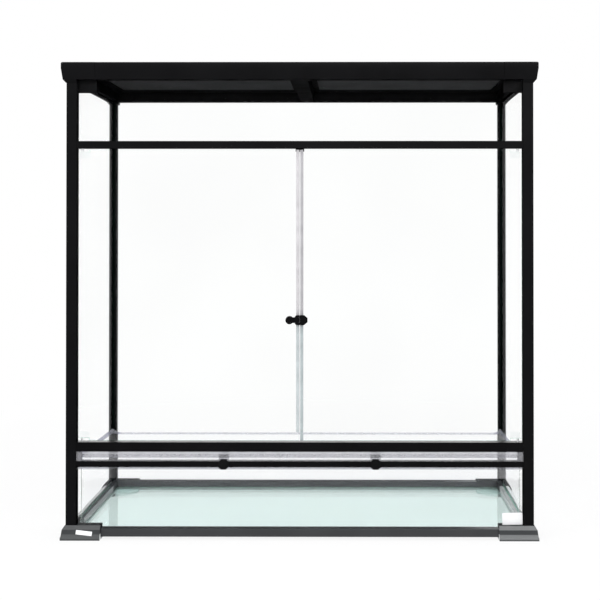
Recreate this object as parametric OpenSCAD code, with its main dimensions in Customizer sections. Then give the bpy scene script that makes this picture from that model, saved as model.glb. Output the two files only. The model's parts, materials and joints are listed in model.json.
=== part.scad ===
// Glass terrarium cabinet with a raised floor, two hinged front doors,
// a lifting vent sash below them and two lift-out screens in the top.
// Origin: centre of the footprint on the floor. The front faces -Y, up is +Z.

/* [Overall size] */
// Width over the cap and the feet
width = 914; // [760:2:1200]
// Depth over the cap and the feet
depth = 457; // [380:1:620]
// Height from the floor to the top of the cap
height = 914; // [720:2:1200]
// How far the cap and the feet stand out past the posts
overhang = 9; // [8.5:0.5:14]

/* [Glass] */
// Thickness of every glass pane
glass_t = 5; // [4:0.5:6]
// Depth of the grooves that hold the fixed panes
groove_depth = 4.5; // [3:0.5:5]
// From the outer face of the posts to the side and rear panes
pane_inset = 7; // [5:0.5:8]
// From the front face of the posts to the front panes and doors
front_inset = 6; // [5.5:0.5:7]
// Room on each side of a pane in its groove
groove_gap = 0.2; // [0.1:0.05:0.3]

/* [Posts] */
// Side of the square front posts
front_post = 20; // [18:0.5:24]
// Side of the square rear posts
rear_post = 17; // [16:0.5:20]
// How far each post reaches into its corner pieces
post_socket = 12; // [8:1:14]
// Room round a post or bar in its socket
socket_gap = 0.15; // [0.1:0.05:0.3]

/* [Base] */
// Height of the base bars above the floor
bar_lift = 5.5; // [4:0.5:8]
// Height of a base bar
bar_h = 19.5; // [18:0.5:26]
// How much lower the front base bar is than the others
front_bar_drop = 4; // [0:0.5:4]
// Width of a base bar, seen from above
bar_w = 20; // [18:0.5:26]
// Thickness of the lip under the floor pane
floor_lip = 1.5; // [1:0.25:2.5]
// How far the floor pane reaches into the base bars
floor_seat = 8; // [5:0.5:9]
// Length of a corner foot along each side
foot_len = 76; // [60:1:100]
// Wall of the corner foot round the bars
foot_wall = 1.2; // [1:0.1:2]
// How far the corner foot rises above the base bars
foot_rise = 2.5; // [2:0.25:4]
// Radius of the flat web in each corner foot
web_r = 48; // [40:1:60]

/* [Top cap] */
// Height of the cap bars
cap_h = 33; // [30:0.5:40]
// Width of the ledge that carries the screens
ledge_w = 9; // [8:0.5:12]
// Width of the cap bars inside the outer face of the posts
cap_inner = 20; // [20:0.5:24]
// Depth of the recess for the screens
screen_recess = 12; // [10:0.5:14]
// Length of a cap corner inside the outer face of the posts
cap_arm = 56; // [50:1:80]
// Drop of the corner skirt below the cap bars
skirt_drop = 6; // [4:0.5:8]
// Drop of the bracket behind the upper pane
bracket_drop = 24; // [15:1:30]
// Width of the crossbar between the screens
crossbar_w = 30; // [24:1:40]
// Width of the rib that parts the screens
rib_w = 6; // [4:0.5:10]

/* [Screens] */
// Width of the screen frame bars
screen_bar = 24; // [18:1:30]
// Height of the screen frame
screen_h = 9; // [7:0.5:9.5]
// Room round a screen in its recess
screen_gap = 1; // [0.5:0.25:2]
// Thickness of the wire mesh
mesh_t = 0.8; // [0.6:0.1:1.2]
// How far the mesh reaches into the frame
mesh_seat = 6; // [4:0.5:10]
// Width of the bars between the openings that stand for the weave
mesh_bar = 10; // [4:0.5:12]
// Openings across each mesh, both ways
mesh_cells = 8; // [4:1:12]

/* [Front rails] */
// Visible height of the fixed upper pane
upper_pane_h = 118; // [80:1:160]
// Height of the header rail
header_h = 14; // [13:0.5:20]
// Height of the sill rail under the doors
sill_h = 18; // [17:0.5:24]
// Height of the vent gap
vent_h = 18.5; // [16:0.5:24]
// Height of the lower rail
lower_rail_h = 11; // [10:0.5:16]
// Visible height of the fixed lower pane
lower_pane_h = 113.5; // [80:0.5:140]
// Height of the gasket strips at the top of the lower pane
gasket_h = 6; // [3:0.5:10]
// Thickness of the gasket strips
gasket_t = 1.2; // [0.8:0.1:2]
// Depth of the front rails
rail_d = 20; // [20:0.5:24]

/* [Doors] */
// Gap between a door and the rails above and below
door_gap = 2.5; // [2:0.25:3.5]
// Gap between a door and its post
post_gap = 1.5; // [1:0.25:2]
// Gap between the two doors
seam_gap = 1.5; // [1:0.25:2]
// From the post to the hinge axis
pivot_inset = 9.75; // [9:0.25:12]
// Radius of the hinge pins
pin_r = 2; // [1.5:0.1:2]
// Length of a hinge pin inside its rail
pin_reach = 7; // [5:0.5:7.5]
// Radial running gap of the hinge pins
pin_gap = 0.05; // [0.02:0.01:0.1]
// Height of a hinge shoe
shoe_h = 18; // [14:1:26]
// Wall of a hinge shoe on each face of the glass
shoe_wall = 2.5; // [1.5:0.25:2.5]
// Length of a hinge shoe beyond the axis
shoe_len = 14; // [12:1:24]
// Height of the shoe part that fills the notch in the glass
notch_h = 4.5; // [4:0.5:6]
// Width of the edge seal on each door
seal_w = 6; // [5:0.5:8]
// Wall of the edge seals
seal_wall = 1.2; // [0.8:0.1:1.5]
// How far the left seal stops above the foot of the door
seal_short = 16; // [0:1:40]
// Width of the door stop under the header rail
stop_w = 16.5; // [12:0.5:30]
// Drop of the door stop
stop_drop = 6; // [4.5:0.5:10]

/* [Latch] */
// Height of the latch above the foot of the doors
latch_up = 231; // [100:1:400]
// Radius of the round end of the latch case
lobe_r = 7.7; // [7.4:0.1:9]
// From the seam to the centre of the round end
lobe_x = 19.4; // [18.5:0.1:22]
// Left end of the wide half of the case, from the seam
wide_x = 9.1; // [8.6:0.1:10]
// Right end of the keeper, from the seam
keeper_x = 15.1; // [12:0.1:20]
// Height of the wide half of the case and of the keeper
wide_h = 18.8; // [15:0.2:22]
// Height of the neck between the round end and the wide half
neck_h = 10.5; // [7:0.5:12]
// Gap between the latch case and the keeper
latch_seam = 0.3; // [0.2:0.1:1]
// Depth of the latch case in front of the edge seals
case_d = 6.8; // [6.8:0.1:7.5]
// Radius of the knob
knob_r = 7.2; // [6:0.1:8]
// Throw of the bolt
bolt_throw = 4.85; // [4:0.05:4.85]
// Height of the bolt
bolt_h = 4.4; // [3.4:0.1:4.6]

/* [Vent] */
// Thickness of the vent sash
sash_t = 2; // [1.5:0.25:2]
// How far the sash reaches into the rails above and below it
sash_lap = 3; // [2:0.5:4]
// How far the sash lifts
sash_lift = 12; // [6:0.5:12]
// From the front face of the rails to the sash
sash_inset = 3; // [2.5:0.25:3]
// Width of the sash guides at the posts
guide_w = 11; // [8:0.5:16]
// Width of a thumb tab
tab_w = 20; // [16:0.5:28]
// Height of a thumb tab
tab_h = 19; // [16:0.5:24]
// Thickness of a thumb tab
tab_t = 3.9; // [3:0.1:5]
// Distance between the two thumb tabs
tab_pitch = 291; // [200:1:500]

/* [Liner tray] */
// Thickness of the liner sheet
liner_t = 1; // [0.8:0.1:2]
// Height of the rear rim above the floor pane
liner_rear = 123; // [60:1:140]
// Height of the front rim above the floor pane
liner_front = 148; // [60:1:150]
// Height of the side rims at the rear
liner_side = 131; // [60:1:145]
// Room round the liner
liner_gap = 0.8; // [0.5:0.1:3]

/* [Hidden] */
$fn = 48;

black = [0.07, 0.07, 0.08];
dark_grey = [0.2, 0.21, 0.22];
clear_glass = [0.85, 0.95, 0.93, 0.4];
clear_sheet = [0.86, 0.88, 0.95, 0.5];
clear_grey = [0.75, 0.77, 0.79, 0.7];
steel = [0.75, 0.75, 0.77];

eps = 1;                                   // overcut of every open-ended cut
far = 3 * (width + depth + height);        // longer than anything here

// Faces of the frame
hx = width / 2 - overhang;                 // outer face of the posts, in X
hy = depth / 2 - overhang;                 // outer face of the posts, in Y
bar_top = bar_lift + bar_h;
front_bar_top = bar_top - front_bar_drop;
foot_top = bar_top + foot_rise;
cap_bottom = height - cap_h;
post_bottom = foot_top - post_socket;
post_top = cap_bottom + post_socket;

// Panes: y or x of the outer face, then the grooves round them
front_y = -hy + front_inset;
rear_y = hy - pane_inset;
side_x = hx - pane_inset;
pane_seat = groove_depth - 0.5;            // a pane stops short of the groove's floor
floor_z = bar_lift + floor_lip;
floor_top = floor_z + glass_t;

// Base and cap details
plinth_h = 4.5;                            // upright plinth of a foot
step_in = 1.5;                             // its face above the plinth steps in
step_top = 9;
shoulder_in = 3;                           // and leans in up to the shoulder
shoulder_drop = 7.5;
edge_out = 1;                              // edge of a foot or skirt outside the post
bar_end_gap = 1;                           // from a base bar's end to the post's side
web_lift = 1;                              // from the floor to the web
web_gap = 0.5;                             // from the web to the floor pane
chamfer = 2;
lean = 3;                                  // the cap's face leans inwards by this much
lean_drop = 12;                            // below this distance from the top
bracket_gap = 0.2;

// Front rails, from the base up
lower_rail_z = bar_top + lower_pane_h;
vent_z = lower_rail_z + lower_rail_h;
sill_z = vent_z + vent_h;
sill_top = sill_z + sill_h;
header_top = cap_bottom - upper_pane_h;
header_z = header_top - header_h;
rail_x = hx - front_post;

// Doors
door_bottom = sill_top + door_gap;
door_top = header_z - door_gap;
door_edge = rail_x - post_gap;
pivot_x = rail_x - pivot_inset;
door_y = front_y + glass_t / 2;
shoe_r = glass_t / 2 + shoe_wall;
rail_clear = 1;                            // between a hinge shoe and its rail
shoe_foot = sill_top + rail_clear;
shoe_head = header_z - rail_clear;
pin_grip = 5;                              // pin length inside a shoe
bore_spare = 0.5;                          // a bore is deeper than what stands in it
seal_y = front_y - seal_wall;
seal_in = seam_gap / 2;
stop_gap = 0.3;                            // between the closed doors' seals and the stop
stop_back = 4;                             // from the stop to the back of the rail

// Latch, in the front view about the seam and the latch height
latch_z = door_bottom + latch_up;
case_front = seal_y - case_d;
wall = 1.6;                                // front wall of the latch case
case_cut = 2.8;                            // cut corners of the wide half
keeper_cut = [6.5, 5.5];                   // and of the keeper, along and upright
pad_gap = 0.1;                             // between the edge seal and the pads behind the case
crank_turn = 120;
crank_r = bolt_throw / 2 / sin(crank_turn / 2);
crank_pin_r = 0.9;
slot_play = 0.3;                           // beside and under the crank's pin in the fork
crank_slot = crank_pin_r + slot_play;
crank_t = 1;
crank_edge = 0.4;                          // disc beyond the pin
bolt_t = 2;
latch_clear = 0.15;
crank_y = case_front + wall + latch_clear;
bolt_y = crank_y + crank_t + 2 * latch_clear;
fork_wall = 1;
fork_reach = [crank_r * sin(crank_turn / 2) + crank_slot + fork_wall, crank_r + crank_pin_r];
cavity_gap = 0.35;
cavity_r = norm(fork_reach) + cavity_gap;
bolt_short = 0.45;                         // from the drawn-in bolt to the end of the seal
keeper_gap = 0.4;                          // round the bolt in the keeper
shaft_r = 2.2;
shaft_socket = 2;                          // how far the shaft reaches into the knob
knob_gap = 0.3;
knob_t = 3.2;
grip_t = 2.3;                              // bar across the knob
grip_w = 3.4;
grip_short = 1.5;                          // from the bar's end to the knob's edge

// Vent
sash_front = -hy + sash_inset;
sash_gap = 0.3;
sash_end = 1.5;                            // from the posts to the grooves for the sash
sash_play = 0.5;                           // from a groove's end to the sash
guide_wall = 1.9;
tab_gap = 0.3;
tab_cut = 5;                               // cut corners of a thumb tab
neck_root = 0.5;                           // how far a neck reaches into its tab
tab_neck_h = 3;
tab_neck_w = 12;
clamp_t = 2;
clamp_h = 16.5;
clamp_room = 0.5;
clamp_lift = 1;                            // from the lower rail to the tab necks and the clamps
clamp_z = vent_z + clamp_lift;
tab_top = clamp_z + tab_neck_h;

// Liner
liner_lift = 0.3;
liner_crease = 0.1;                        // between two panels of the folded sheet
liner_x = hx - bar_w - foot_wall - liner_gap;
liner_y = hy - bar_w - foot_wall - liner_gap;
liner_z = floor_top + liner_lift;

module block(x, y, z) {
    translate([x[0], y[0], z[0]]) cube([x[1] - x[0], y[1] - y[0], z[1] - z[0]]);
}

module left_or_right(side) {
    mirror([side > 0 ? 1 : 0, 0, 0]) children();
}

module front_or_rear(side) {
    mirror([0, side > 0 ? 1 : 0, 0]) children();
}

// The solid inside an outline that runs all round the cabinet. The outline is
// [distance outside the posts, height], from the bottom up.
module all_round(outline) {
    intersection() {
        mirrored_prism(outline, hy, 90);
        mirrored_prism(outline, hx, 0);
    }
}

module mirrored_prism(outline, half, turn) {
    right = [for (p = outline) [half + p[0], p[1]]];
    left = [for (i = [len(outline) - 1:-1:0]) [-half - outline[i][0], outline[i][1]]];
    rotate([0, 0, turn])
        rotate([90, 0, 0])
            translate([0, 0, -far / 2])
                linear_extrude(far) polygon(concat(right, left));
}

// An L in plan at the front left corner, down both sides from the corner
module corner_plan(outside, inside, arm) {
    linear_extrude(far)
        difference() {
            translate([-hx - outside, -hy - outside]) square([outside + arm, outside + arm]);
            translate([-hx + inside, -hy + inside]) square([arm, arm]);
        }
}

// Grooves ---------------------------------------------------------------

module floor_groove() {
    block([-hx + bar_w - floor_seat - groove_gap, hx - bar_w + floor_seat + groove_gap],
          [-hy + bar_w - floor_seat - groove_gap, hy - bar_w + floor_seat + groove_gap],
          [floor_z, floor_top + groove_gap]);
}

module side_groove(z) {
    block([-side_x - groove_gap, -side_x + glass_t + groove_gap],
          [-hy + front_post - groove_depth, hy - rear_post + groove_depth], z);
}

module rear_groove(z) {
    block([-hx + rear_post - groove_depth, hx - rear_post + groove_depth],
          [rear_y - glass_t - groove_gap, rear_y + groove_gap], z);
}

module front_groove(z) {
    block([-rail_x - groove_depth, rail_x + groove_depth],
          [front_y - groove_gap, front_y + glass_t + groove_gap], z);
}

module pane_grooves(z) {
    side_groove(z);
    mirror([1, 0, 0]) side_groove(z);
    rear_groove(z);
}

module base_grooves() {
    floor_groove();
    pane_grooves([bar_top - groove_depth, foot_top + eps]);
    front_groove([front_bar_top - groove_depth, foot_top + eps]);
}

module cap_grooves() {
    pane_grooves([cap_bottom - skirt_drop - eps, cap_bottom + groove_depth]);
    front_groove([cap_bottom - skirt_drop - eps, cap_bottom + groove_depth]);
}

// Base ------------------------------------------------------------------

// Outline of a foot: upright plinth, stepped-in face, bevelled shoulder
foot_outline = [
    [overhang, 0], [overhang, plinth_h], [overhang - step_in, step_top],
    [overhang - shoulder_in, foot_top - shoulder_drop], [edge_out, foot_top]
];

module post_front_solid(gap) {
    block([-hx - gap, -hx + front_post + gap], [-hy - gap, -hy + front_post + gap],
          [post_bottom - gap, post_top + gap]);
}

module post_rear_solid(gap) {
    block([-hx - gap, -hx + rear_post + gap], [hy - rear_post - gap, hy + gap],
          [post_bottom - gap, post_top + gap]);
}

// The bar along the front and the bar along the left side
module base_bar_solids(gap, front_top) {
    reach_x = hx - front_post - bar_end_gap;
    reach_y = hy - front_post - bar_end_gap;
    block([-reach_x - gap, reach_x + gap], [-hy - gap, -hy + bar_w + gap],
          [bar_lift - gap, front_top + gap]);
    block([-hx - gap, -hx + bar_w + gap], [-reach_y - gap, reach_y + gap],
          [bar_lift - gap, bar_top + gap]);
}

module foot_web() {
    translate([-hx + bar_w, -hy + bar_w, web_lift])
        intersection() {
            cylinder(r = web_r, h = floor_z - web_gap - web_lift);
            translate([-foot_wall, -foot_wall, 0]) cube([web_r + eps, web_r + eps, floor_z]);
        }
}

// The front left foot, or with a rear post the foot that stands under it
module base_corner(rear) {
    color(dark_grey)
        difference() {
            union() {
                intersection() {
                    all_round(foot_outline);
                    corner_plan(overhang, bar_w + foot_wall, foot_len - overhang);
                }
                foot_web();
            }
            base_bar_solids(socket_gap, rear ? bar_top : front_bar_top);
            if (rear) mirror([0, 1, 0]) base_grooves();
            if (rear) mirror([0, 1, 0]) post_rear_solid(socket_gap);
            if (!rear) base_grooves();
            if (!rear) post_front_solid(socket_gap);
        }
}

module base_corner_front_left() base_corner(false);
module base_corner_front_right() left_or_right(1) base_corner(false);
module base_corner_rear_left() front_or_rear(1) base_corner(true);
module base_corner_rear_right() front_or_rear(1) left_or_right(1) base_corner(true);

module base_bar_x(top) {
    reach = hx - front_post - bar_end_gap;
    block([-reach, reach], [-hy, -hy + bar_w], [bar_lift, top]);
}

module base_bar_y() {
    reach = hy - front_post - bar_end_gap;
    block([-hx, -hx + bar_w], [-reach, reach], [bar_lift, bar_top]);
}

module base_bar_front() {
    color(dark_grey)
        difference() {
            base_bar_x(front_bar_top);
            base_grooves();
        }
}

module base_bar_rear() {
    color(dark_grey)
        difference() {
            front_or_rear(1) base_bar_x(bar_top);
            base_grooves();
        }
}

module base_bar_left() {
    color(dark_grey)
        difference() {
            base_bar_y();
            base_grooves();
        }
}

module base_bar_right() left_or_right(1) base_bar_left();

// Posts -----------------------------------------------------------------

module post_front_left() {
    color(black)
        difference() {
            post_front_solid(0);
            side_groove([bar_top - groove_depth, cap_bottom + groove_depth]);
            front_groove([front_bar_top - groove_depth, lower_rail_z + groove_depth]);
            front_groove([header_top - groove_depth, cap_bottom + groove_depth]);
            floor_groove();
        }
}

module post_front_right() left_or_right(1) post_front_left();

module post_rear_left() {
    color(black)
        difference() {
            post_rear_solid(0);
            side_groove([bar_top - groove_depth, cap_bottom + groove_depth]);
            rear_groove([bar_top - groove_depth, cap_bottom + groove_depth]);
        }
}

module post_rear_right() left_or_right(1) post_rear_left();

// Top cap ---------------------------------------------------------------

lean_z = height - lean_drop;

cap_outline = [
    [overhang - lean, cap_bottom], [overhang, lean_z],
    [overhang, height - chamfer], [overhang - chamfer, height]
];

skirt_outline = [
    [edge_out, cap_bottom - skirt_drop], [overhang - lean, cap_bottom], [overhang, lean_z],
    [overhang, height - chamfer], [overhang - chamfer, height]
];

rim_in = cap_inner - ledge_w;              // from the posts' outer face to the rim's inner face
ledge_z = height - screen_recess;

module screen_well() {
    block([-hx + rim_in, hx - rim_in], [-hy + rim_in, hy - rim_in], [ledge_z, height + eps]);
}

module top_corner(rear) {
    color(black)
        difference() {
            union() {
                intersection() {
                    all_round(skirt_outline);
                    translate([0, 0, cap_bottom]) corner_plan(overhang, cap_inner, cap_arm);
                }
                // skirt round the outside of the post
                intersection() {
                    all_round(skirt_outline);
                    block([-hx - overhang, -hx + front_post], [-hy - overhang, -hy + front_post],
                          [cap_bottom - skirt_drop, cap_bottom]);
                }
                if (!rear) upper_bracket();
            }
            screen_well();
            if (rear) mirror([0, 1, 0]) post_rear_solid(socket_gap);
            if (rear) mirror([0, 1, 0]) cap_grooves();
            if (rear) rear_skirt_cut();
            if (!rear) post_front_solid(socket_gap);
            if (!rear) cap_grooves();
        }
}

// What the thinner rear post leaves inside the skirt is cut away
module rear_skirt_cut() {
    block([-hx, -hx + front_post + eps], [-hy, -hy + front_post + eps],
          [cap_bottom - skirt_drop - eps, cap_bottom]);
}

// Bracket behind the upper pane, inside each front corner
module upper_bracket() {
    block([-rail_x, -hx + cap_arm], [front_y + glass_t + groove_gap + bracket_gap, -hy + cap_inner],
          [cap_bottom - bracket_drop, cap_bottom + eps]);
}

module top_corner_front_left() top_corner(false);
module top_corner_front_right() left_or_right(1) top_corner(false);
module top_corner_rear_left() front_or_rear(1) top_corner(true);
module top_corner_rear_right() front_or_rear(1) left_or_right(1) top_corner(true);

module top_bar_x() {
    intersection() {
        all_round(cap_outline);
        block([-hx + cap_arm, hx - cap_arm], [-hy - overhang, -hy + cap_inner], [cap_bottom, height]);
    }
}

module top_bar_front() {
    color(black)
        difference() {
            top_bar_x();
            screen_well();
            cap_grooves();
        }
}

module top_bar_rear() {
    color(black)
        difference() {
            front_or_rear(1) top_bar_x();
            screen_well();
            cap_grooves();
        }
}

module top_bar_left() {
    color(black)
        difference() {
            intersection() {
                all_round(cap_outline);
                block([-hx - overhang, -hx + cap_inner], [-hy + cap_arm, hy - cap_arm], [cap_bottom, height]);
            }
            screen_well();
            cap_grooves();
        }
}

module top_bar_right() left_or_right(1) top_bar_left();

// The crossbar butts against the front and rear bars and parts the screens
module top_crossbar() {
    reach = hy - cap_inner;
    rib_reach = hy - rim_in;
    color(black)
        union() {
            block([-crossbar_w / 2, crossbar_w / 2], [-reach, reach], [cap_bottom, ledge_z]);
            block([-rib_w / 2, rib_w / 2], [-rib_reach, rib_reach], [ledge_z, height - chamfer]);
        }
}

// Screens ---------------------------------------------------------------

screen_out = hx - rim_in - screen_gap;
screen_in = rib_w / 2 + screen_gap;
screen_y = hy - rim_in - screen_gap;
mesh_z = ledge_z + (screen_h - mesh_t) / 2;

module mesh_solid(gap) {
    inset = screen_bar - mesh_seat;
    block([-screen_out + inset, -screen_in - inset], [-screen_y + inset, screen_y - inset],
          [mesh_z - gap, mesh_z + mesh_t + gap]);
}

module screen_frame_left() {
    color(black)
        difference() {
            block([-screen_out, -screen_in], [-screen_y, screen_y], [ledge_z, ledge_z + screen_h]);
            block([-screen_out + screen_bar, -screen_in - screen_bar],
                  [-screen_y + screen_bar, screen_y - screen_bar], [ledge_z - eps, height]);
            mesh_solid(0);
        }
}

module screen_frame_right() left_or_right(1) screen_frame_left();

// Plain grid of openings, which stands for the weave
module mesh_openings() {
    x = [-screen_out + screen_bar, -screen_in - screen_bar];
    y = screen_y - screen_bar;
    step = [(x[1] - x[0]) / mesh_cells, 2 * y / mesh_cells];
    translate([x[0] + mesh_bar / 2, -y + mesh_bar / 2, mesh_z - eps])
        linear_extrude(mesh_t + 2 * eps)
            for (i = [0 : mesh_cells - 1], j = [0 : mesh_cells - 1])
                translate([i * step[0], j * step[1]]) square([step[0] - mesh_bar, step[1] - mesh_bar]);
}

module screen_mesh_left() {
    color(dark_grey)
        difference() {
            mesh_solid(0);
            mesh_openings();
        }
}

module screen_mesh_right() left_or_right(1) screen_mesh_left();

// Front rails -----------------------------------------------------------

module rail(z) {
    block([-rail_x, rail_x], [-hy, -hy + rail_d], z);
}

module hinge_bores(z) {
    for (s = [-1, 1])
        translate([s * pivot_x, door_y, z[0]]) cylinder(r = pin_r + pin_gap, h = z[1] - z[0]);
}

module sash_groove(z) {
    block([-rail_x + sash_end, rail_x - sash_end],
          [sash_front - sash_gap, sash_front + sash_t + sash_gap], z);
}

module header_rail() {
    color(black)
        difference() {
            rail([header_z, header_top]);
            front_groove([header_top - groove_depth, header_top + eps]);
            hinge_bores([header_z - eps, header_z + pin_reach + bore_spare]);
        }
}

module sill_rail() {
    color(black)
        difference() {
            rail([sill_z, sill_top]);
            sash_groove([sill_z - eps, sill_z + sash_lap + sash_lift + bore_spare]);
            clamp_pockets();
            hinge_bores([sill_top - pin_reach - bore_spare, sill_top + eps]);
        }
}

// Room behind the sash for the tab clamps when the sash is up
module clamp_pockets() {
    half = tab_w / 2 + clamp_room;
    for (s = [-1, 1])
        block([s * tab_pitch / 2 - half, s * tab_pitch / 2 + half],
              [sash_front, sash_front + sash_t + clamp_t + sash_gap],
              [sill_z - eps, max(sill_z, clamp_z + clamp_h + sash_lift + clamp_room)]);
}

module lower_rail() {
    color(black)
        difference() {
            rail([lower_rail_z, vent_z]);
            sash_groove([vent_z - sash_lap, vent_z + eps]);
            front_groove([lower_rail_z - eps, lower_rail_z + groove_depth]);
        }
}

// Small tab under the header rail that both doors close against
module door_stop() {
    color(black)
        block([-stop_w / 2, stop_w / 2],
              [front_y + glass_t + seal_wall + stop_gap, -hy + rail_d - stop_back],
              [header_z - stop_drop, header_z]);
}

// Glass -----------------------------------------------------------------

module floor_glass() {
    color(clear_glass)
        block([-hx + bar_w - floor_seat, hx - bar_w + floor_seat],
              [-hy + bar_w - floor_seat, hy - bar_w + floor_seat], [floor_z, floor_top]);
}

pane_z = [bar_top - pane_seat, cap_bottom + pane_seat];

module rear_glass() {
    reach = hx - rear_post + pane_seat;
    color(clear_glass) block([-reach, reach], [rear_y - glass_t, rear_y], pane_z);
}

module side_glass_left() {
    color(clear_glass)
        block([-side_x, -side_x + glass_t],
              [-hy + front_post - pane_seat, hy - rear_post + pane_seat], pane_z);
}

module side_glass_right() left_or_right(1) side_glass_left();

module front_pane(z) {
    reach = rail_x + pane_seat;
    color(clear_glass) block([-reach, reach], [front_y, front_y + glass_t], z);
}

module upper_front_glass() front_pane([header_top - pane_seat, cap_bottom + pane_seat]);
module lower_front_glass() front_pane([front_bar_top - pane_seat, lower_rail_z + pane_seat]);

// Soft strips on both faces of the lower pane, right under the lower rail
module lower_pane_gasket() {
    color(clear_grey)
        for (y = [front_y - gasket_t, front_y + glass_t])
            block([-rail_x, rail_x], [y, y + gasket_t], [lower_rail_z - gasket_h, lower_rail_z]);
}

// Doors -----------------------------------------------------------------

module door_pane() {
    block([-door_edge, -seal_in - seal_wall], [front_y, front_y + glass_t], [door_bottom, door_top]);
}

// The corners of the pane that the hinge shoes fill
module notches() {
    x = [-door_edge - eps, -pivot_x + shoe_len];
    y = [front_y - eps, front_y + glass_t + eps];
    block(x, y, [door_bottom - eps, door_bottom + notch_h]);
    block(x, y, [door_top - notch_h, door_top + eps]);
}

module door_glass_left() {
    color(clear_glass)
        difference() {
            door_pane();
            notches();
        }
}

module door_glass_right() left_or_right(1) door_glass_left();

module hinge_shoe(z) {
    difference() {
        union() {
            translate([-pivot_x, door_y, z[0]]) cylinder(r = shoe_r, h = z[1] - z[0]);
            block([-pivot_x, -pivot_x + shoe_len], [door_y - shoe_r, door_y + shoe_r], z);
        }
        difference() {
            door_pane();
            notches();
        }
        hinge_bores([z[0] - eps, z[1] + eps]);
    }
}

module hinge_shoes_left() {
    color(clear_sheet) {
        hinge_shoe([shoe_foot, shoe_foot + shoe_h]);
        hinge_shoe([shoe_head - shoe_h, shoe_head]);
    }
}

module hinge_shoes_right() left_or_right(1) hinge_shoes_left();

module hinge_pin(z) {
    translate([-pivot_x, door_y, z[0]]) cylinder(r = pin_r, h = z[1] - z[0]);
}

module hinge_pins_left() {
    color(steel) {
        hinge_pin([sill_top - pin_reach, shoe_foot + pin_grip]);
        hinge_pin([shoe_head - pin_grip, header_z + pin_reach]);
    }
}

module hinge_pins_right() left_or_right(1) hinge_pins_left();

// Soft channel that caps the free edge of a door
module door_seal(foot) {
    color(clear_grey)
        difference() {
            block([-seal_in - seal_w, -seal_in],
                  [front_y - seal_wall, front_y + glass_t + seal_wall], [foot, door_top]);
            door_pane();
        }
}

module door_seal_left() door_seal(door_bottom + seal_short);
module door_seal_right() left_or_right(1) door_seal(door_bottom);

// Latch -----------------------------------------------------------------

// Places a front view, drawn in [x, z], so that it fills y[0] to y[1]
module upright(y) {
    translate([0, y[1], latch_z])
        rotate([90, 0, 0]) linear_extrude(y[1] - y[0]) children();
}

// The wide shape that the case and the keeper share, with cut corners
module wide_shape() {
    c = case_cut;
    k = keeper_cut;
    h = wide_h / 2;
    polygon([
        [-wide_x, -h + c], [-wide_x + c, -h], [keeper_x - k[0], -h], [keeper_x, -h + k[1]],
        [keeper_x, h - k[1]], [keeper_x - k[0], h], [-wide_x + c, h], [-wide_x, h - c]
    ]);
}

module case_shape() {
    translate([-lobe_x, 0]) circle(r = lobe_r);
    translate([-lobe_x, -neck_h / 2]) square([lobe_x - wide_x + eps, neck_h]);
    intersection() {
        wide_shape();
        translate([-width, -height]) square([width - latch_seam / 2, 2 * height]);
    }
}

module keeper_shape() {
    difference() {
        wide_shape();
        translate([-width, -height]) square([width + latch_seam / 2, 2 * height]);
    }
}

// Fills the step between the edge seal and the glass
module glass_pad(side) {
    pad = seal_in + seal_w + pad_gap;
    upright([seal_y, front_y])
        intersection() {
            children();
            translate([side < 0 ? -width - pad : pad, -height]) square([width, 2 * height]);
        }
}

module latch_case() {
    channel = bolt_h / 2 + latch_clear;
    color(black)
        difference() {
            union() {
                upright([case_front, seal_y]) case_shape();
                glass_pad(-1) case_shape();
            }
            upright([crank_y - latch_clear, bolt_y + bolt_t + latch_clear])
                translate([-lobe_x, 0]) circle(r = cavity_r);
            upright([bolt_y - latch_clear, bolt_y + bolt_t + latch_clear])
                translate([-lobe_x, -channel]) square([lobe_x + eps, 2 * channel]);
            upright([case_front - eps, crank_y])
                translate([-lobe_x, 0]) circle(r = shaft_r + pin_gap);
        }
}

module latch_knob() {
    back = case_front - knob_gap;
    color(black)
        difference() {
            union() {
                upright([back - knob_t, back]) translate([-lobe_x, 0]) circle(r = knob_r);
                upright([back - knob_t - grip_t, back - knob_t])
                    translate([-lobe_x, 0]) square([grip_w, 2 * (knob_r - grip_short)], center = true);
            }
            upright([back - shaft_socket, back + eps]) translate([-lobe_x, 0]) circle(r = shaft_r);
        }
}

// Shaft behind the knob, with a disc and a pin that push the bolt
module latch_crank() {
    swing = 90 + crank_turn / 2;
    color(steel) {
        upright([case_front - knob_gap - shaft_socket, crank_y]) translate([-lobe_x, 0]) circle(r = shaft_r);
        upright([crank_y, crank_y + crank_t])
            translate([-lobe_x, 0]) circle(r = crank_r + crank_pin_r + crank_edge);
        upright([crank_y + crank_t, bolt_y + bolt_t - latch_clear])
            translate([-lobe_x + crank_r * cos(swing), crank_r * sin(swing)]) circle(r = crank_pin_r);
    }
}

// Bar that slides out of the case into the keeper, forked round the pin
module latch_bolt() {
    fork_x = -lobe_x - bolt_throw / 2;
    fork_half = crank_slot + fork_wall;
    fork_top = fork_reach[1];
    fork_floor = crank_r * cos(crank_turn / 2) - crank_pin_r - slot_play;
    color(steel)
        upright([bolt_y, bolt_y + bolt_t])
            difference() {
                union() {
                    translate([fork_x - fork_half, -bolt_h / 2])
                        square([-seal_in - bolt_short - fork_x + fork_half, bolt_h]);
                    translate([fork_x - fork_half, 0]) square([2 * fork_half, fork_top]);
                }
                translate([fork_x - crank_slot, fork_floor]) square([2 * crank_slot, bolt_h + fork_top]);
            }
}

module latch_keeper() {
    pocket = bolt_h / 2 + keeper_gap;
    color(black)
        difference() {
            union() {
                upright([case_front, seal_y]) keeper_shape();
                glass_pad(1) keeper_shape();
            }
            upright([bolt_y - keeper_gap, bolt_y + bolt_t + keeper_gap])
                translate([0, -pocket]) square([seal_in + bolt_throw, 2 * pocket]);
        }
}

// Vent ------------------------------------------------------------------

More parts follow.
